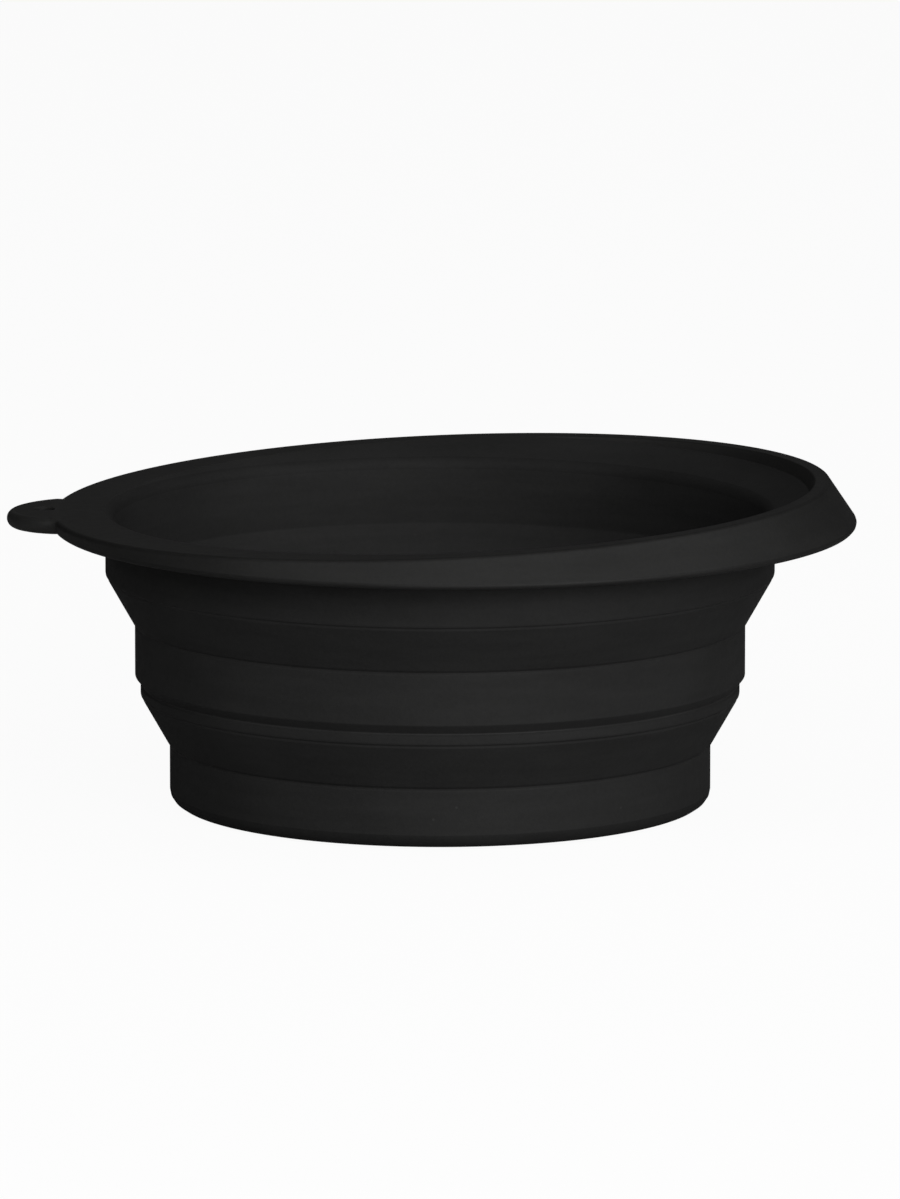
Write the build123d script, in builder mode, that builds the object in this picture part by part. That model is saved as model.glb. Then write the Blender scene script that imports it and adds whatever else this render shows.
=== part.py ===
"""Collapsible hair colour mixing bowl.

The wall is a stack of stiff bands joined by two thin conical folds.  Pushed down, each fold turns
inside out, so the bands nest round the base.  A hard rim frame with a hanging ear leans up towards +X,
and a hard dish with a non-slip ring keeps the base flat.

Millimetres.  +Z is up, the origin is the centre of the ring that the bowl stands on, the ear points
to -X and the high side of the rim to +X.
"""

import os
from math import cos, radians, sin, tan

from build123d import *

# ---- driving dimensions ------------------------------------------------------------------------
FOOT_PROUD = 0.4  # the non-slip ring stands this far out of the base

# outer radius and top height of each level of the wall, from the base up
BASE_R, BASE_TOP = 47.2, 10.6
LOWER_FOLD_R, LOWER_FOLD_TOP = 52.25, 19.45
NECK_TOP = 21.3
MIDDLE_R, CHAMFER_TOP, MIDDLE_TOP = 53.2, 22.9, 31.8
COLLAR_R, UPPER_FOLD_TOP = 58.3, 40.8

BAND_WALL = 1.4  # stiff bands
FOLD_WALL = 0.9  # conical folds, measured level
BASE_WALL = 2.6  # soft band round the base dish
BASE_ROUNDING = 2.55

# mouth: a shallow funnel from the opening up to the groove below the lip
MOUTH_R, MOUTH_Z = 58.2, 51.9
GROOVE_R, GROOVE_Z = 64.2, 54.9
MOUTH_ROUNDING = 2.2
FLANGE_WALL = 1.4
SHELF_WALL = 1.5  # rim frame under the flange

# rim: the top edge is a circle on a leaning plane, the skirt's lower edge a level circle set off to +X
RIM_TILT = 2.4  # degrees, rising towards +X
RIM_CENTRE_Z = 54.35
RIM_R = 67.8
SKIRT_R, SKIRT_OFFSET, SKIRT_BOTTOM = 70.2, 2.5, 49.15
SKIRT_WALL = 2.2
LIP_R, LIP_SLOPE = 66.2, 0.48  # lip's inner wall above the groove, and its run over rise
SKIRT_EDGE, RIM_ROUNDING = 0.35, 0.7
BOND_WALL = 1.6  # rim frame round the collar's outside
CHANNEL_TILT = 2.75  # ceiling of the channel under the skirt, which runs out towards the ear
CHANNEL_RUN_OUT_X = -54.0

# hanging ear
EAR_TIP_X, EAR_TIP_Z, EAR_R, EAR_THICKNESS, EAR_TILT = -75.5, 50.25, 12.4, 2.9, 1.5
EAR_ROUNDING, EAR_ROOT_BLEND = 1.2, 3.0
EAR_ROOT_R, EAR_ROOT = RIM_R - 0.6, 0.6  # the ear ends inside the rim's edge
HANG_HOLE_X, HANG_HOLE_R, HANG_HOLE_BEVEL = -68.9, 1.8, 0.3

# base dish and non-slip ring
DISH_R, DISH_WALL, DISH_TOP = BASE_R - BASE_WALL, 1.4, 9.0
DISH_FLOOR_TOP, DISH_COVE = 2.9, 4.0
DISH_RECESS_R, DISH_RECESS_Z = 35.0, 0.9
FOOT_INNER_R, FOOT_OUTER_R, FOOT_DEPTH = 37.5, 41.5, 1.6
FOOT_ROUNDING = 0.35

BIG = 200.0

funnel_slope = (GROOVE_Z - MOUTH_Z) / (GROOVE_R - MOUTH_R)


def leaning_plane(tilt, x, z):
    """A plane through (x, 0, z) that rises towards +X by tilt degrees."""
    lean = radians(tilt)
    return Plane((x, 0, z), x_dir=(cos(lean), 0, sin(lean)), z_dir=(-sin(lean), 0, cos(lean)))


def funnel_z(radius, depth=0.0):
    """Height of the funnel's surface, or of a layer that far below it, at a radius."""
    return MOUTH_Z + (radius - MOUTH_R) * funnel_slope - depth * (1 + funnel_slope**2) ** 0.5


def corner(section, radius, height):
    """The section's corner nearest to a radius and a height."""
    return section.vertices().sort_by_distance((radius, height, 0))[0]


rim_plane = leaning_plane(RIM_TILT, 0, RIM_CENTRE_Z)

# ---- base: dish, non-slip ring and soft band ---------------------------------------------------
with BuildPart() as base_dish:
    with BuildSketch(Plane.XZ) as dish_section:
        with BuildLine():
            Polyline(
                (0, DISH_RECESS_Z),
                (DISH_RECESS_R, DISH_RECESS_Z),
                (DISH_RECESS_R + DISH_RECESS_Z - FOOT_PROUD, FOOT_PROUD),
                (FOOT_INNER_R, FOOT_PROUD),
                (FOOT_INNER_R, FOOT_DEPTH),
                (FOOT_OUTER_R, FOOT_DEPTH),
                (FOOT_OUTER_R, FOOT_PROUD),
                (DISH_R, FOOT_PROUD),
                (DISH_R, DISH_TOP),
                (DISH_R - DISH_WALL, DISH_TOP),
                (DISH_R - DISH_WALL, DISH_FLOOR_TOP),
                (0, DISH_FLOOR_TOP),
                close=True,
            )
        make_face()
        fillet(corner(dish_section, DISH_R - DISH_WALL, DISH_FLOOR_TOP), DISH_COVE)
    revolve(axis=Axis.Z)

with BuildPart() as foot_ring:
    with BuildSketch(Plane.XZ) as foot_section:
        with BuildLine():
            Polyline(
                (FOOT_INNER_R, 0),
                (FOOT_OUTER_R, 0),
                (FOOT_OUTER_R, FOOT_DEPTH),
                (FOOT_INNER_R, FOOT_DEPTH),
                close=True,
            )
        make_face()
        fillet(
            [corner(foot_section, FOOT_INNER_R, 0), corner(foot_section, FOOT_OUTER_R, 0)],
            FOOT_ROUNDING,
        )
    revolve(axis=Axis.Z)

with BuildPart() as base_band:
    with BuildSketch(Plane.XZ) as base_section:
        with BuildLine():
            Polyline(
                (DISH_R, FOOT_PROUD),
                (BASE_R, FOOT_PROUD),
                (BASE_R, BASE_TOP),
                (BASE_R - FOLD_WALL, BASE_TOP),
                (DISH_R - DISH_WALL, DISH_TOP),
                (DISH_R, DISH_TOP),
                close=True,
            )
        make_face()
        fillet(corner(base_section, BASE_R, FOOT_PROUD), BASE_ROUNDING)
    revolve(axis=Axis.Z)


# ---- folds: thin cones that turn inside out ----------------------------------------------------
def fold_corners(low_r, low_z, high_r, high_z):
    """Corners of a fold's section, which thickens to the wall of the band above it."""
    lean = (high_r - low_r) / (high_z - low_z)
    return (
        (low_r - FOLD_WALL, low_z),
        (low_r, low_z),
        (high_r, high_z),
        (high_r - BAND_WALL, high_z),
        (high_r - BAND_WALL, high_z - (BAND_WALL - FOLD_WALL) / lean),
    )


with BuildPart() as lower_fold:
    with BuildSketch(Plane.XZ):
        with BuildLine():
            Polyline(*fold_corners(BASE_R, BASE_TOP, LOWER_FOLD_R, LOWER_FOLD_TOP), close=True)
        make_face()
    revolve(axis=Axis.Z)

with BuildPart() as upper_fold:
    with BuildSketch(Plane.XZ):
        with BuildLine():
            Polyline(*fold_corners(MIDDLE_R, MIDDLE_TOP, COLLAR_R, UPPER_FOLD_TOP), close=True)
        make_face()
    revolve(axis=Axis.Z)

# ---- middle ring: neck, chamfer and band -------------------------------------------------------
with BuildPart() as middle_ring:
    with BuildSketch(Plane.XZ):
        with BuildLine():
            Polyline(
                (LOWER_FOLD_R - BAND_WALL, LOWER_FOLD_TOP),
                (LOWER_FOLD_R, LOWER_FOLD_TOP),
                (LOWER_FOLD_R, NECK_TOP),
                (MIDDLE_R, CHAMFER_TOP),
                (MIDDLE_R, MIDDLE_TOP),
                (MIDDLE_R - FOLD_WALL, MIDDLE_TOP),
                (MIDDLE_R - BAND_WALL, MIDDLE_TOP - (BAND_WALL - FOLD_WALL)),
                (MIDDLE_R - BAND_WALL, CHAMFER_TOP),
                (LOWER_FOLD_R - BAND_WALL, NECK_TOP),
                close=True,
            )
        make_face()
    revolve(axis=Axis.Z)

# ---- collar: the wall's top band, and its flange that lines the mouth --------------------------
collar_inner_r = COLLAR_R - BAND_WALL
with BuildPart() as collar:
    with BuildSketch(Plane.XZ) as collar_section:
        with BuildLine():
            Polyline(
                (collar_inner_r, UPPER_FOLD_TOP),
                (COLLAR_R, UPPER_FOLD_TOP),
                (COLLAR_R, funnel_z(COLLAR_R, FLANGE_WALL)),
                (GROOVE_R, funnel_z(GROOVE_R, FLANGE_WALL)),
                (GROOVE_R, GROOVE_Z),
                (collar_inner_r, funnel_z(collar_inner_r)),
                close=True,
            )
        make_face()
        fillet(corner(collar_section, collar_inner_r, funnel_z(collar_inner_r)), MOUTH_ROUNDING)
    revolve(axis=Axis.Z)
    split(bisect_by=rim_plane, keep=Keep.BOTTOM)

# ---- rim frame: skirt, lip, shelf under the flange, and hanging ear ----------------------------
skirt_bottom_plane = Plane((SKIRT_OFFSET, 0, SKIRT_BOTTOM))
bond_r = COLLAR_R + BOND_WALL

with BuildPart() as skirt_channel:
    with BuildSketch(skirt_bottom_plane):
        Circle(SKIRT_R - SKIRT_WALL)
    with BuildSketch(rim_plane.offset(-SKIRT_WALL)):
        Circle(RIM_R - SKIRT_WALL)
    loft(ruled=True)
    with BuildSketch(Plane.XZ):
        with BuildLine():
            Polyline(
                (0, 0),
                (bond_r, 0),
                (bond_r, funnel_z(bond_r, FLANGE_WALL + SHELF_WALL)),
                (SKIRT_R, funnel_z(SKIRT_R, FLANGE_WALL + SHELF_WALL)),
                (SKIRT_R, BIG),
                (0, BIG),
                close=True,
            )
        make_face()
    revolve(axis=Axis.Z, mode=Mode.SUBTRACT)
    split(bisect_by=leaning_plane(CHANNEL_TILT, CHANNEL_RUN_OUT_X, SKIRT_BOTTOM), keep=Keep.BOTTOM)

# Seen from above, a hollow corner blends the ear's circle into the rim's.  Its centre is found from
# its distances to theirs.  Places are measured from the ear's tip.
ear_plane = leaning_plane(EAR_TILT, EAR_TIP_X, EAR_TIP_Z)
rim_centre_x = -EAR_TIP_X
ear_to_rim = rim_centre_x - EAR_R
ear_to_blend, rim_to_blend = EAR_R + EAR_ROOT_BLEND, EAR_ROOT_R + EAR_ROOT_BLEND
blend_dx = (ear_to_blend**2 + ear_to_rim**2 - rim_to_blend**2) / (2 * ear_to_rim)
blend_y = (ear_to_blend**2 - blend_dx**2) ** 0.5
blend_x = EAR_R + blend_dx

with BuildPart() as ear:
    with BuildSketch(ear_plane):
        with Locations((rim_centre_x, 0)):
            Circle(EAR_ROOT_R)
        with Locations((EAR_R, 0)):
            Circle(EAR_R)
        with BuildLine():
            Polyline((rim_centre_x, 0), (blend_x, blend_y), (EAR_R, 0), (blend_x, -blend_y), close=True)
        make_face()
        with Locations((blend_x, blend_y), (blend_x, -blend_y)):
            Circle(EAR_ROOT_BLEND, mode=Mode.SUBTRACT)
        with Locations((EAR_R, 0)):
            Rectangle(2 * EAR_R, 2 * blend_y, mode=Mode.INTERSECT)
    extrude(amount=EAR_THICKNESS / 2, both=True)
    fillet(ear.edges().filter_by(GeomType.CIRCLE), EAR_ROUNDING)
    with BuildSketch(ear_plane):
        with Locations((rim_centre_x, 0)):
            Circle(EAR_ROOT_R - EAR_ROOT)
    extrude(amount=EAR_THICKNESS, both=True, mode=Mode.SUBTRACT)

# the hole's space: a straight bore that opens out by a small bevel at both faces
hole_z = EAR_TIP_Z + (HANG_HOLE_X - EAR_TIP_X) * tan(radians(EAR_TILT))
hole_plane = leaning_plane(EAR_TILT, HANG_HOLE_X, hole_z)
bore_half = EAR_THICKNESS / 2 - HANG_HOLE_BEVEL
with BuildPart() as hang_hole:
    with BuildSketch(Plane(hole_plane.origin, x_dir=hole_plane.x_dir, z_dir=(0, -1, 0))):
        with BuildLine():
            Polyline(
                (0, -bore_half - EAR_THICKNESS),
                (HANG_HOLE_R + EAR_THICKNESS, -bore_half - EAR_THICKNESS),
                (HANG_HOLE_R, -bore_half),
                (HANG_HOLE_R, bore_half),
                (HANG_HOLE_R + EAR_THICKNESS, bore_half + EAR_THICKNESS),
                (0, bore_half + EAR_THICKNESS),
                close=True,
            )
        make_face()
    revolve(axis=Axis(hole_plane.origin, hole_plane.z_dir))

with BuildPart() as rim_frame:
    with BuildSketch(skirt_bottom_plane):
        Circle(SKIRT_R)
    with BuildSketch(rim_plane):
        Circle(RIM_R)
    loft(ruled=True)
    lower_edge, top_edge = rim_frame.edges().filter_by(GeomType.CIRCLE).sort_by(Axis.Z)
    chamfer(lower_edge, SKIRT_EDGE)
    fillet(top_edge, RIM_ROUNDING)
    add(ear.part)
    add(skirt_channel.part, mode=Mode.SUBTRACT)
    with BuildSketch(Plane.XZ):
        with BuildLine():
            Polyline(
                (0, 0),
                (COLLAR_R, 0),
                (COLLAR_R, funnel_z(COLLAR_R, FLANGE_WALL)),
                (GROOVE_R, funnel_z(GROOVE_R, FLANGE_WALL)),
                (GROOVE_R, GROOVE_Z),
                (LIP_R, GROOVE_Z + (LIP_R - GROOVE_R) / LIP_SLOPE),
                (0, GROOVE_Z + (LIP_R - GROOVE_R) / LIP_SLOPE),
                close=True,
            )
        make_face()
    revolve(axis=Axis.Z, mode=Mode.SUBTRACT)
    add(hang_hole.part, mode=Mode.SUBTRACT)

# ---- write each piece --------------------------------------------------------------------------
pieces = {
    "rim_frame": rim_frame,
    "collar": collar,
    "upper_fold": upper_fold,
    "middle_ring": middle_ring,
    "lower_fold": lower_fold,
    "base_band": base_band,
    "base_dish": base_dish,
    "foot_ring": foot_ring,
}
os.makedirs("parts", exist_ok=True)
for name, piece in pieces.items():
    piece.part.label = name
    export_step(piece.part, f"parts/{name}.step")
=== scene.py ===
"""Looks of the collapsible hair colour bowl: moulded pieces, finishes, and a small white studio.

Shapes are worked out in millimetres, and make_piece turns each one into metres.  +Z is up, the hanging
ear points to -X and the high side of the rim to +X.
"""

from math import acos, atan2, cos, pi, radians, sin, sqrt, tan

import bmesh
import bpy
from mathutils import Matrix, Vector


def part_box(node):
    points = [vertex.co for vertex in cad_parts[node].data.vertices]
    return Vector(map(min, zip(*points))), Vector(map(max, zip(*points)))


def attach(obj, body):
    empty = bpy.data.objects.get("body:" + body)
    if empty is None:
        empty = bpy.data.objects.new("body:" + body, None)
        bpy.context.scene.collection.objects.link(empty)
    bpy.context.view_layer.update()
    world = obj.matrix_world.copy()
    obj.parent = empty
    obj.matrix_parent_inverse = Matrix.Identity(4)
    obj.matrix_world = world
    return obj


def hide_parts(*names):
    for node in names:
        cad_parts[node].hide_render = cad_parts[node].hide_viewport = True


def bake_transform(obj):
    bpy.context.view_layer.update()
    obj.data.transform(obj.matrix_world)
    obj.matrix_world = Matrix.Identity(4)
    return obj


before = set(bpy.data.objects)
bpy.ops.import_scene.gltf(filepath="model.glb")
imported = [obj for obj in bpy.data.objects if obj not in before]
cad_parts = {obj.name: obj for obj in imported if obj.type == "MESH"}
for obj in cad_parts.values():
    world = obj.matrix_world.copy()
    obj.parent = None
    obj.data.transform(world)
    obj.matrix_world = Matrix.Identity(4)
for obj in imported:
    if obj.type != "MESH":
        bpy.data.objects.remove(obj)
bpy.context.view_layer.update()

MM = 0.001


# ---- sizes --------------------------------------------------------------------------------------
def reach(node):
    """How far out a CAD node goes towards +X."""
    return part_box(node)[1].x / MM


def top(node):
    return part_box(node)[1].z / MM


# outer radius and top height of each level of the wall
BASE_R, BASE_TOP = reach("base_band"), top("base_band")
LOWER_FOLD_R, LOWER_FOLD_TOP = reach("lower_fold"), top("lower_fold")
MIDDLE_R, MIDDLE_TOP = reach("middle_ring"), top("middle_ring")
COLLAR_R, UPPER_FOLD_TOP = reach("upper_fold"), top("upper_fold")
GROOVE_R = reach("collar")
NECK_TOP, CHAMFER_TOP = 21.3, 22.9
BAND_WALL, FOLD_WALL = 1.4, 0.9
CREASE, CREASE_HEIGHT = 0.2, 0.3  # depth and height of the thin line where a fold turns
EDGE, EASED = 0.25, 0.3  # a band's edge at a crease: its height and its rounding
SHY = 0.05  # a band's end stops this far inside its face, or one edge this far from the next

# base
BASE_ROUNDING = 2.55
FOOT_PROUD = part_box("base_dish")[0].z / MM
DISH_R, DISH_TOP, DISH_WALL = reach("base_dish"), top("base_dish"), 1.4
DISH_FLOOR_TOP, DISH_COVE, DISH_RECESS_R, DISH_RECESS_Z = 2.9, 4.0, 35.0, 0.9
FOOT_INNER_R, FOOT_OUTER_R, FOOT_TOP = 37.5, reach("foot_ring"), top("foot_ring")

# mouth: a shallow funnel from the opening up to the groove below the lip
MOUTH_R, MOUTH_Z, GROOVE_Z = 58.2, 51.9, 54.9
MOUTH_ROUNDING, FLANGE_WALL, SHELF_WALL = 2.2, 1.4, 1.5
FUNNEL_SLOPE = (GROOVE_Z - MOUTH_Z) / (GROOVE_R - MOUTH_R)

# rim: a leaning top face, and a skirt that hangs to a level edge set off to +X
RIM_LEAN, RIM_CENTRE_Z, RIM_R, RIM_ROUNDING = radians(2.4), 54.33, 67.75, 0.7
SKIRT_R, SKIRT_OFFSET, SKIRT_BOTTOM, SKIRT_ROUNDING = 69.38, 2.47, 49.15, 0.66
SKIRT_INNER_R, SKIRT_WALL = 67.95, 2.2
LIP_SLOPE, LIP_ROUNDING = 0.48, 0.3
BOND_R = COLLAR_R + 1.6
CHANNEL_LEAN, CHANNEL_RUN_OUT_X = radians(2.75), -54.0
BOND_GAP = 0.02  # between the hard frame and the soft wall moulded to it

# hanging ear
EAR_TIP_X, EAR_TIP_Z, EAR_R, EAR_THICKNESS, EAR_LEAN = -75.42, 50.25, 12.4, 2.9, radians(1.5)
EAR_ROOT_R, EAR_BLEND, EAR_ROUNDING, EAR_ROOT = 67.2, 3.0, 1.4, 2.0
EAR_THINS_R, EAR_THINS_ABOVE, EAR_THINS_BELOW = 67.9, 0.28, 0.14  # share of height lost inside the rim
HANG_HOLE_X, HANG_HOLE_R, HANG_HOLE_BEVEL = -68.9, 1.8, 0.3
HOLE_TURNS, HOLE_REACH = 64, 4.0
EAR_RIDGE, HOLE_PAINTED_SHADE = 0.5, -0.8  # how strongly the finish lightens the ear's edge, as rubbed wear and painted highlight, and darkens the hole's walls as painted shade
# places seen from above, measured from the ear's tip
EAR_CENTRE, RIM_AXIS = Vector((EAR_R, 0)), Vector((-EAR_TIP_X, 0))
HOLE_CENTRE = Vector((HANG_HOLE_X - EAR_TIP_X, 0))

TURNS = 240  # steps of each ring
ARC_STEPS = 4  # steps of a rounded corner
HOLD = 0.15  # a rounded corner's shading ends this far past it
MOST = 0.9  # a rounding takes up to this share of its room along an edge
ALMOST_STRAIGHT = 0.04  # radians
FOLD_ROWS = 18  # rows of faces up a fold, so that it can bend
SHARP = radians(35)  # a steeper corner between faces is shaded as an edge
MERGE = 0.001


# ---- shaping ------------------------------------------------------------------------------------
def rounded(corners):
    """Points of a closed outline with corners (radius, height, rounding), and how sharply each turns.

    The turn is 0 on a flat, above 0 on an outer corner and below 0 in an inner one.  Two rounded corners
    share the edge between them in proportion to their roundings.
    """
    spots = [Vector(corner[:2]) for corner in corners]
    roundings = [corner[2] for corner in corners]
    points = []
    for i, (spot, rounding) in enumerate(zip(spots, roundings)):
        if rounding == 0:
            points.append((spot, 0.0))
            continue
        after_i = (i + 1) % len(spots)
        before, after = spots[i - 1] - spot, spots[after_i] - spot
        room_before = before.length * rounding / (rounding + roundings[i - 1])
        room_after = after.length * rounding / (rounding + roundings[after_i])
        side = 1.0 if before.cross(after) > 0 else -1.0
        before.normalize()
        after.normalize()
        half = max(acos(max(-1.0, min(1.0, before.dot(after)))) / 2, 0.01)
        ease = min(rounding / tan(half), MOST * room_before, MOST * room_after)
        spread = pi - 2 * half
        start, end = before * ease, after * ease
        points.append((spot + before * (ease + min(HOLD, 0.5 * (room_before - ease))), 0.0))
        for step in range(ARC_STEPS + 1):
            share = step / ARC_STEPS
            if spread < ALMOST_STRAIGHT:
                place = start.lerp(end, share)
            else:
                centre = (before + after).normalized() * ease / cos(half)
                from_start, from_end = sin((1 - share) * spread), sin(share * spread)
                place = centre + ((start - centre) * from_start + (end - centre) * from_end) / sin(spread)
            points.append((spot + place, side * spread / 2))
        points.append((spot + after * (ease + min(HOLD, 0.5 * (room_after - ease))), 0.0))
    return points


def turned(profile, place, turns=TURNS, closed=True):
    """Spins an outline, given as points and how sharply each turns, round the axis.

    Point number i then goes where place(i, turn) says.  An open outline starts and ends on the axis.
    """
    bm = bmesh.new()
    numbers = bm.verts.layers.int.new("number")
    # each point's turn is kept as the ridge attribute: the finishes lighten outer corners with it, as
    # rubbed wear and painted highlight, and darken inner corners as painted shade
    ridge = bm.verts.layers.float.new("ridge")
    verts = []
    for number, (spot, turn) in enumerate(profile):
        vert = bm.verts.new((spot[0], 0, spot[1]))
        vert[numbers], vert[ridge] = number, turn
        verts.append(vert)
    edges = [bm.edges.new(pair) for pair in zip(verts, verts[1:])]
    if closed:
        edges.append(bm.edges.new((verts[-1], verts[0])))
    bmesh.ops.spin(
        bm, geom=verts + edges, cent=(0, 0, 0), axis=(0, 0, 1), angle=2 * pi, steps=turns, use_merge=True
    )
    for vert in bm.verts:
        turn = round(atan2(vert.co.y, vert.co.x) * turns / (2 * pi)) % turns
        vert.co = place(vert[numbers], turn)
    bm.verts.layers.int.remove(numbers)
    bmesh.ops.remove_doubles(bm, verts=bm.verts, dist=MERGE)
    bmesh.ops.recalc_face_normals(bm, faces=bm.faces)
    return bm


def ring(section):
    """A closed ring.  section(angle) gives its outline's corners."""
    outlines = [rounded(section(2 * pi * turn / TURNS)) for turn in range(TURNS)]

    def place(number, turn):
        spot, angle = outlines[turn][number][0], 2 * pi * turn / TURNS
        return spot.x * cos(angle), spot.x * sin(angle), spot.y

    return turned(outlines[0], place)


def lathe(outline, turns=TURNS):
    """A solid of revolution.  Its outline of points and turns starts and ends on the axis."""

    def place(number, turn):
        spot, angle = outline[number][0], 2 * pi * turn / turns
        return spot[0] * cos(angle), spot[0] * sin(angle), spot[1]

    return turned(outline, place, turns, closed=False)


def level(*corners):
    """A section that is the same all round."""
    return lambda angle: corners


def make_piece(name, bm, finish, nodes=(), body=None):
    """Turns a shape in millimetres into a piece of the bowl that stands for those CAD nodes."""
    bmesh.ops.scale(bm, vec=(MM, MM, MM), verts=bm.verts)
    mesh = bpy.data.meshes.new(name)
    bm.to_mesh(mesh)
    bm.free()
    mesh.shade_smooth()
    mesh.set_sharp_from_angle(angle=SHARP)
    mesh.materials.append(finish)
    piece = bpy.data.objects.new(name, mesh)
    bpy.context.scene.collection.objects.link(piece)
    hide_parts(*nodes)
    if body:
        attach(piece, body)
    return piece


# ---- mouth and rim surfaces ---------------------------------------------------------------------
def funnel_z(radius, depth=0.0):
    """Height of the funnel, or of a layer that far below it."""
    return MOUTH_Z + (radius - MOUTH_R) * FUNNEL_SLOPE - depth * sqrt(1 + FUNNEL_SLOPE**2)


def rim_z(radius, angle):
    """Height of the leaning top face."""
    return RIM_CENTRE_Z + radius * cos(angle) * tan(RIM_LEAN)


def off_centre(radius, angle):
    """Distance from the bowl's axis to a circle of that radius about the skirt's centre."""
    return SKIRT_OFFSET * cos(angle) + sqrt(radius**2 - (SKIRT_OFFSET * sin(angle)) ** 2)


def seam(angle):
    """Where the soft funnel meets the hard lip: at the groove, or where the top face cuts the funnel."""
    cut = (RIM_CENTRE_Z - MOUTH_Z + MOUTH_R * FUNNEL_SLOPE) / (FUNNEL_SLOPE - cos(angle) * tan(RIM_LEAN))
    radius = max(min(GROOVE_R, cut), COLLAR_R + SHY)
    return radius, min(funnel_z(radius), rim_z(radius, angle))


def lip_edge(angle):
    """Radius where the step up from the groove meets the top face."""
    step = (GROOVE_R + (RIM_CENTRE_Z - GROOVE_Z) * LIP_SLOPE) / (1 - LIP_SLOPE * cos(angle) * tan(RIM_LEAN))
    return max(step, seam(angle)[0] + SHY)


def collar_section(angle):
    seam_r, seam_z = seam(angle)
    inner_r = COLLAR_R - BAND_WALL
    return (
        (inner_r, UPPER_FOLD_TOP, 0),
        (COLLAR_R - SHY, UPPER_FOLD_TOP, 0),
        (COLLAR_R, UPPER_FOLD_TOP + EASED, EASED),
        (COLLAR_R, funnel_z(COLLAR_R, FLANGE_WALL), EASED),
        (seam_r, funnel_z(seam_r, FLANGE_WALL), 0.1),
        (seam_r, seam_z, 0),
        (inner_r, funnel_z(inner_r), MOUTH_ROUNDING),
    )


def rim_section(angle):
    seam_r, seam_z = seam(angle)
    rim_r = RIM_R / sqrt((cos(angle) / cos(RIM_LEAN)) ** 2 + sin(angle) ** 2)
    lip_r = lip_edge(angle)

    # the skirt's outer face runs from the top face's edge to the rounding of its lower edge
    round_r, round_z = off_centre(SKIRT_R, angle), SKIRT_BOTTOM + SKIRT_ROUNDING
    over, up = rim_r - round_r, rim_z(rim_r, angle) - round_z
    facing = atan2(up, over) - acos(SKIRT_ROUNDING / sqrt(over**2 + up**2))
    skirt_r = round_r + SKIRT_ROUNDING * (1 + sin(facing)) / cos(facing)

    # the channel under the skirt
    inner_r = off_centre(SKIRT_INNER_R, angle)
    inner_slope = (rim_r - SKIRT_WALL - inner_r) / (rim_z(rim_r, angle) - SKIRT_WALL - SKIRT_BOTTOM)

    def ceiling_z(radius):
        run = SKIRT_BOTTOM + (radius * cos(angle) - CHANNEL_RUN_OUT_X) * tan(CHANNEL_LEAN)
        return max(min(run, funnel_z(radius, FLANGE_WALL + SHELF_WALL)), SKIRT_BOTTOM + SHY)

    ceiling_r = inner_r + (ceiling_z(inner_r) - SKIRT_BOTTOM) * inner_slope
    bond_r = COLLAR_R + BOND_GAP
    return (
        (bond_r, SKIRT_BOTTOM, 0.1),
        (BOND_R, SKIRT_BOTTOM, EDGE),
        (BOND_R, ceiling_z(BOND_R), EDGE),
        (ceiling_r, ceiling_z(ceiling_r), 0.5),
        (inner_r, SKIRT_BOTTOM, EDGE),
        (skirt_r, SKIRT_BOTTOM, SKIRT_ROUNDING),
        (rim_r, rim_z(rim_r, angle), RIM_ROUNDING),
        (lip_r, rim_z(lip_r, angle), LIP_ROUNDING),
        (seam_r + BOND_GAP, seam_z, 0),
        (seam_r + BOND_GAP, funnel_z(seam_r, FLANGE_WALL) - BOND_GAP, 0.1),
        (bond_r, funnel_z(COLLAR_R, FLANGE_WALL) - BOND_GAP, 0),
    )


# ---- finishes -----------------------------------------------------------------------------------
class Wire:
    """A shader socket.  Arithmetic on it adds Math nodes."""

    def __init__(self, finish, socket):
        self.finish, self.socket = finish, socket

    def math(self, operation, *values):
        return self.finish.node("ShaderNodeMath", {"operation": operation}, dict(enumerate(values)))

    def __add__(self, other):
        return self.math("ADD", self, other)

    def __sub__(self, other):
        return self.math("SUBTRACT", self, other)

    def __rsub__(self, other):
        return self.math("SUBTRACT", other, self)

    def __mul__(self, other):
        return self.math("MULTIPLY", self, other)

    def __truediv__(self, other):
        return self.math("DIVIDE", self, other)

    __radd__, __rmul__ = __add__, __mul__

    def over(self, low, high):
        """0 up to low, 1 from high, and a smooth step between."""
        ends = {"Value": self, "From Min": low, "From Max": high}
        return self.finish.node("ShaderNodeMapRange", {"interpolation_type": "SMOOTHSTEP"}, ends)


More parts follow.
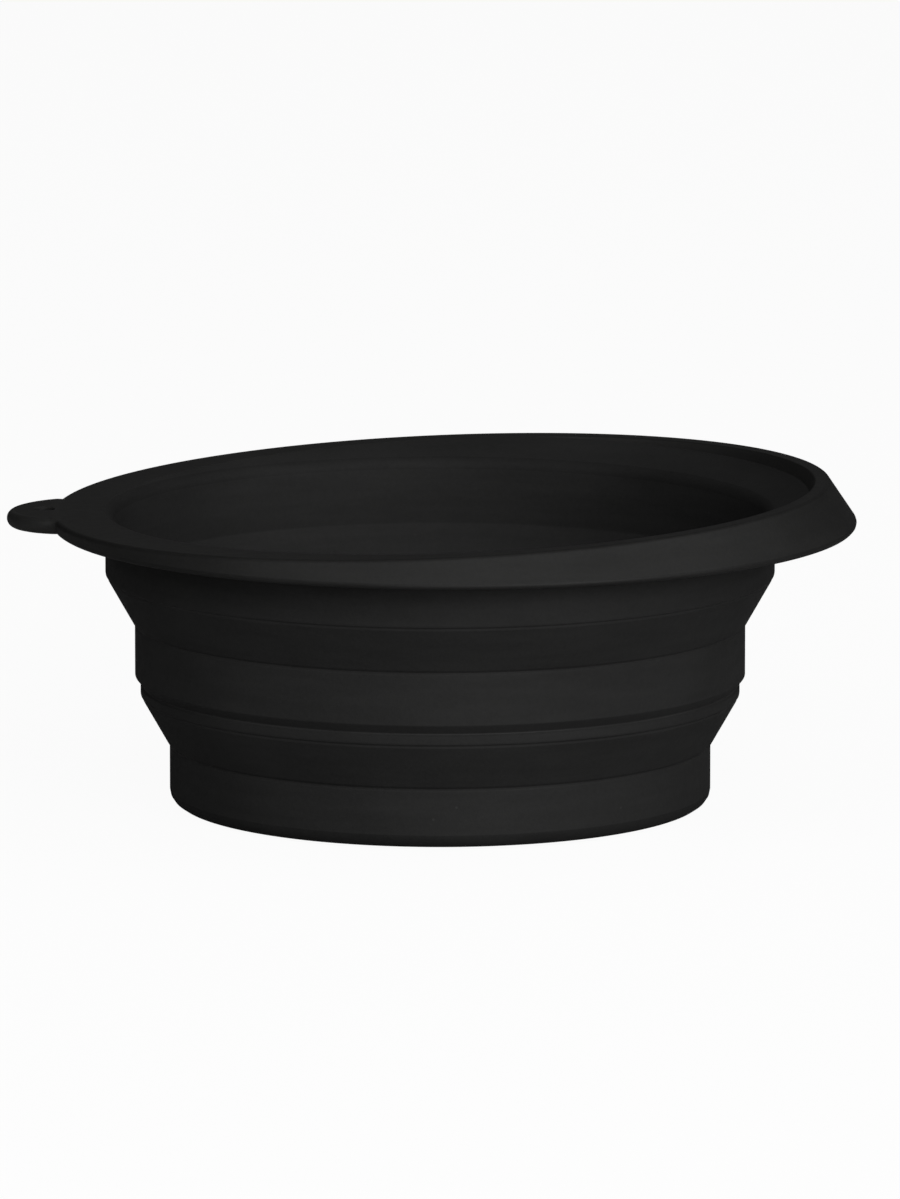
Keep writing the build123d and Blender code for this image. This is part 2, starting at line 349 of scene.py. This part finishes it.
class Finish:
    """A material and the nodes in it."""

    def __init__(self, name):
        self.material = bpy.data.materials.new(name)
        self.material.use_nodes = True
        self.tree = self.material.node_tree
        self.tree.nodes.clear()

    def node(self, kind, settings, sockets, out=0):
        """Adds a node: its settings first, then a value or link for each named or numbered socket."""
        made = self.tree.nodes.new(kind)
        for name, value in settings.items():
            setattr(made, name, value)
        for name, value in sockets.items():
            if isinstance(value, Wire):
                self.tree.links.new(value.socket, made.inputs[name])
            else:
                made.inputs[name].default_value = value
        return Wire(self, made.outputs[out]) if made.outputs else None

    def places(self):
        return self.node("ShaderNodeTexCoord", {}, {}, "Object")

    def stretched(self, vector, scale):
        return self.node("ShaderNodeMapping", {}, {"Vector": vector, "Scale": scale})

    def noise(self, vector, scale, detail=2.0, roughness=0.5):
        """Noise of about 0 to 1 with blotches 1 / scale metres across."""
        sockets = {"Vector": vector, "Scale": scale, "Detail": detail, "Roughness": roughness}
        return self.node("ShaderNodeTexNoise", {}, sockets, "Fac")

    def specks(self, vector, scale, size):
        """1 on sparse small dots."""
        near = self.node("ShaderNodeTexVoronoi", {}, {"Vector": vector, "Scale": scale}, "Distance")
        return 1 - near.over(size * 0.5, size)

    def shade(self, share, dark, light):
        """A colour from dark at 0 to light at 1."""
        ends = {0: share, 6: (*dark, 1), 7: (*light, 1)}
        return self.node("ShaderNodeMix", {"data_type": "RGBA"}, ends, 2)

    def bump(self, height, distance, normal=None):
        sockets = {"Height": height, "Distance": distance}
        if normal:
            sockets["Normal"] = normal
        return self.node("ShaderNodeBump", {}, sockets)

    def surface(self, **sockets):
        """The principled shader, and the material it makes."""
        named = {name.replace("_", " "): value for name, value in sockets.items()}
        shader = self.node("ShaderNodeBsdfPrincipled", {}, named)
        self.node("ShaderNodeOutputMaterial", {}, {"Surface": shader})
        return self.material


def black_moulding(name, tone, gloss, grain, lint):
    """Black moulded polymer: a fine matt grain, blotches of polish, rubbed ridges that are also lightened
    as a painted highlight, painted shade in inner corners and hollows, and a little dust.
    """
    finish = Finish(name)
    here = finish.places()
    blotch = finish.noise(here, 45, 3)
    flow = finish.noise(finish.stretched(here, (1, 1, 9)), 60, 2)
    fine = finish.noise(here, 1400, 3, 0.6)
    coarse = finish.noise(here, 420, 2)
    ridge = finish.node("ShaderNodeAttribute", {"attribute_name": "ridge"}, {}, "Fac")
    # outer corners, in blotches, lighter in colour and smoother: partly rubbed wear, partly a painted
    # highlight
    rubbed_and_highlit = ridge.over(0.15, 0.6) * blotch.over(0.35, 0.6)
    # painted shade: inner corners, creases and the hole's walls are darkened in colour
    painted_hollow_shade = 1 - ridge.over(-0.7, -0.15)
    dust = finish.specks(here, 330, 0.1) * finish.noise(here, 70).over(0.55, 0.7) * lint
    mottle = (blotch - 0.5) * 0.5 + (flow - 0.5) * 0.35 + (fine - 0.5) * 0.3
    share = 0.46 + mottle + rubbed_and_highlit * 0.25 - painted_hollow_shade * 0.25 + dust
    dark = [level * 0.5 for level in tone]
    light = [level * 1.6 for level in tone]
    height = fine * 0.6 + coarse * 0.4
    return finish.surface(
        Base_Color=finish.shade(share, dark, light),
        Roughness=gloss + (blotch - 0.5) * 0.16 + (coarse - 0.5) * 0.1 - rubbed_and_highlit * 0.12,
        Specular_IOR_Level=0.22,
        Normal=finish.bump(height, grain),
    )


hard_plastic = black_moulding("matt_hard_plastic", (0.0195, 0.0195, 0.019), 0.56, 0.00006, 0.25)
soft_wall = black_moulding("matt_soft_elastomer", (0.020, 0.020, 0.0198), 0.72, 0.00004, 0.5)
foot_rubber = black_moulding("grip_elastomer", (0.015, 0.015, 0.015), 0.8, 0.00006, 0.3)


# ---- base ---------------------------------------------------------------------------------------
dish_outline = rounded(
    (
        (0, DISH_RECESS_Z, 0),
        (DISH_RECESS_R, DISH_RECESS_Z, 0.4),
        (DISH_RECESS_R + DISH_RECESS_Z - FOOT_PROUD, FOOT_PROUD, 0.4),
        (FOOT_INNER_R, FOOT_PROUD, 0),
        (FOOT_INNER_R, FOOT_TOP, 0),
        (FOOT_OUTER_R, FOOT_TOP, 0),
        (FOOT_OUTER_R, FOOT_PROUD, 0),
        (DISH_R, FOOT_PROUD, 0),
        (DISH_R, DISH_TOP, 0),
        (DISH_R - DISH_WALL, DISH_TOP, 0.3),
        (DISH_R - DISH_WALL, DISH_FLOOR_TOP, DISH_COVE),
        (0, DISH_FLOOR_TOP, 0),
    )
)
make_piece("base_dish_moulding", lathe(dish_outline), hard_plastic, ["base_dish"], "base")

make_piece(
    "non_slip_ring",
    ring(
        level(
            (FOOT_INNER_R, FOOT_TOP, 0),
            (FOOT_INNER_R, 0, 0.35),
            (FOOT_INNER_R + 1.0, 0, 0.1),
            (FOOT_INNER_R + 1.2, 0.25, 0.1),
            (FOOT_INNER_R + 1.4, 0, 0.1),
            (FOOT_OUTER_R - 1.4, 0, 0.1),
            (FOOT_OUTER_R - 1.2, 0.25, 0.1),
            (FOOT_OUTER_R - 1.0, 0, 0.1),
            (FOOT_OUTER_R, 0, 0.35),
            (FOOT_OUTER_R, FOOT_TOP, 0),
        )
    ),
    foot_rubber,
    ["foot_ring"],
    "base",
)

make_piece(
    "base_band_skin",
    ring(
        level(
            (DISH_R, FOOT_PROUD, 0),
            (BASE_R, FOOT_PROUD, BASE_ROUNDING),
            (BASE_R, BASE_TOP - EDGE, EASED),
            (BASE_R - SHY, BASE_TOP, 0),
            (BASE_R - FOLD_WALL, BASE_TOP, 0),
            (DISH_R - DISH_WALL, DISH_TOP, 0.1),
            (DISH_R, DISH_TOP, 0),
        )
    ),
    soft_wall,
    ["base_band"],
    "base",
)


# ---- folds --------------------------------------------------------------------------------------
def fold_section(low_r, low_z, high_r, high_z):
    """A thin cone with a crease just inside each end."""
    lean = (high_r - low_r) / (high_z - low_z)

    def wall(height, depth=0.0):
        return low_r + (height - low_z) * lean - depth

    rows = [low_z + (high_z - low_z) * row / FOLD_ROWS for row in range(2, FOLD_ROWS - 1)]
    outer = [(wall(height), height, 0) for height in rows]
    inner = [(wall(height, FOLD_WALL), height, 0) for height in reversed(rows[:-2])]
    thickens_z = high_z - (BAND_WALL - FOLD_WALL) / lean
    return level(
        (low_r - FOLD_WALL, low_z, 0),
        (low_r - SHY, low_z, 0),
        (wall(low_z + CREASE_HEIGHT, CREASE), low_z + CREASE_HEIGHT, 0.3),
        (wall(low_z + 0.7), low_z + 0.7, 0.4),
        *outer,
        (wall(high_z - 0.7), high_z - 0.7, 0.4),
        (wall(high_z - CREASE_HEIGHT, CREASE), high_z - CREASE_HEIGHT, 0.3),
        (high_r - SHY, high_z, 0),
        (high_r - BAND_WALL, high_z, 0),
        (high_r - BAND_WALL, thickens_z, 0.8),
        *inner,
    )


lower_fold = make_piece(
    "lower_fold_skin",
    ring(fold_section(BASE_R, BASE_TOP, LOWER_FOLD_R, LOWER_FOLD_TOP)),
    soft_wall,
    ["lower_fold"],
)
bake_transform(lower_fold)

upper_fold = make_piece(
    "upper_fold_skin",
    ring(fold_section(MIDDLE_R, MIDDLE_TOP, COLLAR_R, UPPER_FOLD_TOP)),
    soft_wall,
    ["upper_fold"],
)
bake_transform(upper_fold)

# ---- middle ring and collar ---------------------------------------------------------------------
make_piece(
    "middle_ring_skin",
    ring(
        level(
            (LOWER_FOLD_R - BAND_WALL, LOWER_FOLD_TOP, 0),
            (LOWER_FOLD_R - SHY, LOWER_FOLD_TOP, 0),
            (LOWER_FOLD_R, LOWER_FOLD_TOP + EDGE, EASED),
            (LOWER_FOLD_R, NECK_TOP - 0.4, 0.2),
            (LOWER_FOLD_R - 0.35, NECK_TOP, 0.2),
            (MIDDLE_R, CHAMFER_TOP, 0.35),
            (MIDDLE_R, MIDDLE_TOP - EDGE, EASED),
            (MIDDLE_R - SHY, MIDDLE_TOP, 0),
            (MIDDLE_R - FOLD_WALL, MIDDLE_TOP, 0),
            (MIDDLE_R - BAND_WALL, MIDDLE_TOP - 0.5, 0.6),
            (MIDDLE_R - BAND_WALL, CHAMFER_TOP, 1.0),
            (LOWER_FOLD_R - BAND_WALL, NECK_TOP, 1.0),
        )
    ),
    soft_wall,
    ["middle_ring"],
    "middle",
)

make_piece("collar_skin", ring(collar_section), soft_wall, ["collar"], "rim")


# ---- rim frame and its hanging ear --------------------------------------------------------------
def arc(centre, radius, start, end, steps, inward=0):
    """Points of an arc from one angle to another, each with a vector: -1 towards its centre, 1 away."""
    for step in range(1, steps + 1):
        angle = start + (end - start) * step / steps
        away = Vector((cos(angle), sin(angle)))
        yield centre + radius * away, inward * away


def ear_outline():
    """The ear seen from above, with its tip at the origin, and the way in from each point.

    A hollow corner blends it into the rim, and its root is an arc inside the rim.
    """
    to_ear, to_rim = EAR_R + EAR_BLEND, EAR_ROOT_R + EAR_BLEND
    apart = RIM_AXIS.x - EAR_CENTRE.x
    along = (to_ear**2 + apart**2 - to_rim**2) / (2 * apart)
    blend_centre = EAR_CENTRE + Vector((along, sqrt(to_ear**2 - along**2)))
    joins_ear = atan2(*reversed(blend_centre - EAR_CENTRE))
    joins_rim = atan2(*reversed(RIM_AXIS - blend_centre))
    root_turn = atan2(blend_centre.y, RIM_AXIS.x - blend_centre.x)
    half = [
        (Vector((0, 0)), Vector((1, 0))),
        *arc(EAR_CENTRE, EAR_R, pi, joins_ear, 24, -1),
        *arc(blend_centre, EAR_BLEND, joins_ear - pi, joins_rim, 8, 1),
        # a tenth more turn, as an arc leaves out its first point
        *arc(RIM_AXIS, EAR_ROOT_R - EAR_ROOT, pi - root_turn * 1.1, pi, 11),
    ]
    mirror = Matrix.Scale(-1, 2, Vector((0, 1)))
    return half + [(mirror @ spot, mirror @ inward) for spot, inward in reversed(half[1:-1])]


def leaning_at(bm, x, z):
    """Tilts a shape laid flat to the ear's lean, with its origin at (x, 0, z)."""
    lean = Matrix.Rotation(-EAR_LEAN, 4, "Y")
    bmesh.ops.transform(bm, matrix=Matrix.Translation((x, 0, z)) @ lean, verts=bm.verts)
    return bm


def hanging_ear():
    """The ear with its rounded edge.  Its faces close in on the hole, and its root lies inside the rim."""
    outline = ear_outline()

    # each row: inset from the outline, share of the way to the hole's middle, height, turn
    half = EAR_THICKNESS / 2
    shares = [1.0, 0.85, 0.7, 0.55, 0.45, 0.35, 0.25, 0.15, 0.07, 0.0]
    face = [(EAR_ROUNDING + HOLD, share, half, 0.0) for share in shares]
    for step in range(6):
        slope = radians(90 - 15 * (step + 0.5))
        # the ear's rounded edge is marked as an outer edge, which the finish lightens as rubbed wear and
        # painted highlight
        face.append((EAR_ROUNDING * (1 - cos(slope)), 0, half - EAR_ROUNDING * (1 - sin(slope)), EAR_RIDGE))
    rows = face + [(inset, share, -height, turn) for inset, share, height, turn in reversed(face)]

    def place(number, turn):
        inset, share, height, _ = rows[number]
        edge, inward = outline[turn]
        spot = (edge + inward * inset).lerp(HOLE_CENTRE, share)
        # inside the rim the ear thins smoothly, to end under the rim's faces
        deep = max(0.0, min(1.0, (EAR_THINS_R - (spot - RIM_AXIS).length) / EAR_ROOT))
        deep = deep * deep * (3 - 2 * deep)
        return spot.x, spot.y, height * (1 - (EAR_THINS_ABOVE if height > 0 else EAR_THINS_BELOW) * deep)

    # only the first and last rows lie on the axis; place moves all of them
    profile = [((float(0 < i < len(rows) - 1), -i), row[3]) for i, row in enumerate(rows)]
    bm = turned(profile, place, len(outline), closed=False)
    bmesh.ops.triangulate(bm, faces=bm.faces)
    return leaning_at(bm, EAR_TIP_X, EAR_TIP_Z)


def hole_cutter():
    """The hole's space, which opens out by a small bevel at both faces of the ear."""
    bore_half = EAR_THICKNESS / 2 - HANG_HOLE_BEVEL
    end_r = HANG_HOLE_R + HOLE_REACH - bore_half
    ends = [(0, HOLE_REACH), (end_r, HOLE_REACH), (HANG_HOLE_R, bore_half)]
    outline = ends + [(radius, -height) for radius, height in reversed(ends)]
    # the hole's walls are marked as a hollow, which the finish darkens as painted shade
    bm = lathe([(spot, HOLE_PAINTED_SHADE) for spot in outline], HOLE_TURNS)
    return leaning_at(bm, HANG_HOLE_X, EAR_TIP_Z + HOLE_CENTRE.x * tan(EAR_LEAN))


def combine(piece, part, operation):
    """Makes part one moulding with piece, or cuts it out."""
    change = piece.modifiers.new(operation, "BOOLEAN")
    change.operation, change.solver, change.object = operation, "MANIFOLD", part
    depsgraph = bpy.context.evaluated_depsgraph_get()
    mesh = bpy.data.meshes.new_from_object(piece.evaluated_get(depsgraph))
    piece.modifiers.clear()
    piece.data = mesh
    mesh.set_sharp_from_angle(angle=SHARP)
    bpy.data.objects.remove(part)


moulding = make_piece("rim_moulding", ring(rim_section), hard_plastic, ["rim_frame"], "rim")
combine(moulding, make_piece("hanging_ear", hanging_ear(), hard_plastic), "UNION")
combine(moulding, make_piece("hang_hole", hole_cutter(), hard_plastic), "DIFFERENCE")


# ---- studio -------------------------------------------------------------------------------------
def studio_floor():
    """A plain pale floor, bright to look at but with only a little bounce."""
    finish = Finish("studio_floor")
    seen = finish.node("ShaderNodeLightPath", {}, {}, "Is Camera Ray")
    dim = finish.node("ShaderNodeBsdfDiffuse", {}, {"Color": (0.4, 0.4, 0.4, 1)})
    pale = finish.node("ShaderNodeBsdfDiffuse", {}, {"Color": (0.9, 0.9, 0.9, 1)})
    glow = finish.node("ShaderNodeEmission", {}, {"Color": (1, 1, 1, 1), "Strength": 1.03})
    bright = finish.node("ShaderNodeMixShader", {}, {0: 0.92, 1: pale, 2: glow})
    shown = finish.node("ShaderNodeMixShader", {}, {0: seen, 1: dim, 2: bright})
    finish.node("ShaderNodeOutputMaterial", {}, {"Surface": shown})
    bm = bmesh.new()
    bmesh.ops.create_circle(bm, cap_ends=True, segments=64, radius=5.0)
    mesh = bpy.data.meshes.new("floor")
    bm.to_mesh(mesh)
    bm.free()
    mesh.materials.append(finish.material)
    floor = bpy.data.objects.new("floor", mesh)
    bpy.context.scene.collection.objects.link(floor)


def lamp(name, azimuth, elevation, size, power):
    """A square soft light, aimed at the bowl.  Azimuth 0 is in front, and 90 towards +X."""
    light = bpy.data.lights.new(name, "AREA")
    light.size, light.energy = size, power
    holder = bpy.data.objects.new(name, light)
    across, up = radians(azimuth), radians(elevation)
    away = Vector((sin(across) * cos(up), -cos(across) * cos(up), sin(up)))
    holder.location = TARGET + LAMP_DISTANCE * away
    holder.rotation_euler = away.to_track_quat("Z", "Y").to_euler()
    bpy.context.scene.collection.objects.link(holder)


def sky(strength):
    """Soft light from all round, which looks white behind the bowl."""
    world = bpy.data.worlds.new("studio")
    bpy.context.scene.world = world
    world.use_nodes = True
    nodes, links = world.node_tree.nodes, world.node_tree.links
    nodes.clear()
    seen = nodes.new("ShaderNodeLightPath")
    shown = nodes.new("ShaderNodeMapRange")
    shown.inputs["To Min"].default_value = strength
    shown.inputs["To Max"].default_value = 1.0
    glow = nodes.new("ShaderNodeBackground")
    glow.inputs["Color"].default_value = (1, 1, 1, 1)
    result = nodes.new("ShaderNodeOutputWorld")
    links.new(seen.outputs["Is Camera Ray"], shown.inputs["Value"])
    links.new(shown.outputs["Result"], glow.inputs["Strength"])
    links.new(glow.outputs["Background"], result.inputs["Surface"])


TARGET, LAMP_DISTANCE = Vector((0.00173, 0, 0.035785)), 1.6
studio_floor()
sky(0.02)
lamp("low_key", 34, 12, 0.5, 6.1)
lamp("front", 10, 27, 0.5, 3.5)
lamp("left", -40, 35, 0.8, 3.5)
lamp("low_front", 0, 10, 0.5, 3.2)
lamp("low_right", 50, 16, 0.5, 1.8)
lamp("right", 80, 35, 0.8, 3.2)
lamp("overhead", 0, 85, 1.0, 1.6)
lamp("behind", 180, 25, 1.2, 0.25)

# ---- camera -------------------------------------------------------------------------------------
VIEW_HEIGHT, VIEW_DISTANCE = radians(9.628), 2.13
camera = bpy.data.objects.new("camera", bpy.data.cameras.new("camera"))
camera.data.lens, camera.data.sensor_width = 366.9, 36
toward_camera = Vector((0, -cos(VIEW_HEIGHT), sin(VIEW_HEIGHT)))
camera.location = TARGET + VIEW_DISTANCE * toward_camera
camera.rotation_euler = toward_camera.to_track_quat("Z", "Y").to_euler()
bpy.context.scene.collection.objects.link(camera)
bpy.context.scene.camera = camera
bpy.context.scene.view_settings.view_transform = "Standard"
bpy.context.scene.view_settings.look = "None"
